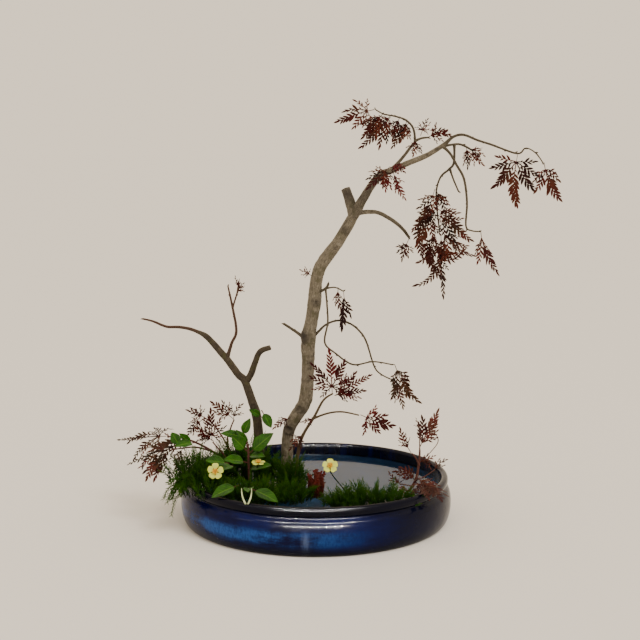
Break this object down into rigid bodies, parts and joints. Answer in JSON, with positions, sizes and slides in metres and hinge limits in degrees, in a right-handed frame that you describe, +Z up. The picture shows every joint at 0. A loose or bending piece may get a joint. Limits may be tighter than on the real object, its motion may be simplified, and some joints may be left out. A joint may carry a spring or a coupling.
{
  "type": "ikebana arrangement",
  "caption": "Low glazed water bowl holding an asymmetric flower arrangement: a leaning maple branch with fine red leaves, a bare side branch, clubmoss and small flowers.",
  "frame": {"origin": "centre of the bowl's flat underside, on the surface it stands on", "axes": "+Z up; +X to the viewer's right, the way the maple's long limb reaches; -Y towards the viewing side"},
  "size_m": [0.5975, 0.373, 0.5751],
  "materials": {
    "blue_glaze": "deep blue gloss glaze with a darker collar and pale streaks",
    "water": "still clear water",
    "lead": "dull grey metal base with metal pins",
    "grey_bark": "matte grey-brown bark with darker knots",
    "brown_bark": "matte brown bark",
    "maple_leaf": "soft dark purplish red leaf",
    "bronze_leaf": "soft bronze and olive leaf",
    "red_stem": "smooth reddish brown young stem",
    "green_stem": "smooth olive young stem",
    "green_leaf": "smooth green leaf with paler veins",
    "moss": "feathery dark green clubmoss with paler tips",
    "tuft": "soft red-brown tuft",
    "grass": "pale green blades",
    "petal": "pale yellow petals with a golden centre"
  },
  "bodies": {
    "root": {"bowl": "blue_glaze", "water": "water", "large_kenzan": "lead", "small_kenzan": "lead", "main_branch": "grey_bark", "side_branch": "brown_bark", "centre_sprig": "green_stem", "left_sprig": "green_stem", "right_sprig": "red_stem", "leafy_shoot": "red_stem", "moss_left": "moss", "moss_back": "moss", "moss_front": "moss", "moss_right": "moss", "red_tuft": "tuft", "grass": "grass", "crown_leaf_1": "maple_leaf", "crown_leaf_2": "maple_leaf", "crown_leaf_3": "maple_leaf", "crown_leaf_4": "maple_leaf", "trunk_leaf": "maple_leaf", "far_leaf_1": "maple_leaf", "far_leaf_2": "maple_leaf", "hanging_leaf": "maple_leaf", "cascade_leaf_1": "maple_leaf", "cascade_leaf_2": "maple_leaf", "cascade_leaf_3": "bronze_leaf", "cascade_leaf_4": "maple_leaf", "cascade_leaf_5": "maple_leaf", "cascade_leaf_6": "maple_leaf", "arm_leaf": "maple_leaf", "folded_leaf": "maple_leaf", "centre_leaf_1": "maple_leaf", "centre_leaf_2": "maple_leaf", "centre_leaf_3": "maple_leaf", "loop_leaf_1": "bronze_leaf", "loop_leaf_2": "bronze_leaf", "left_leaf_1": "bronze_leaf", "left_leaf_2": "bronze_leaf", "star_leaf": "maple_leaf", "high_leaf": "maple_leaf", "back_leaf": "maple_leaf", "right_leaf_1": "bronze_leaf", "right_leaf_2": "bronze_leaf", "right_leaf_3": "bronze_leaf", "broad_leaf_1": "green_leaf", "broad_leaf_2": "green_leaf", "broad_leaf_3": "green_leaf", "broad_leaf_4": "green_leaf", "broad_leaf_5": "green_leaf", "broad_leaf_6": "green_leaf", "broad_leaf_7": "green_leaf", "broad_leaf_8": "green_leaf", "broad_leaf_9": "green_leaf", "flower_1_petals": "petal", "flower_1_stem": "green_stem", "flower_2_petals": "petal", "flower_2_stem": "green_stem", "flower_3_petals": "petal", "flower_3_stem": "green_stem"}
  },
  "joints": []
}
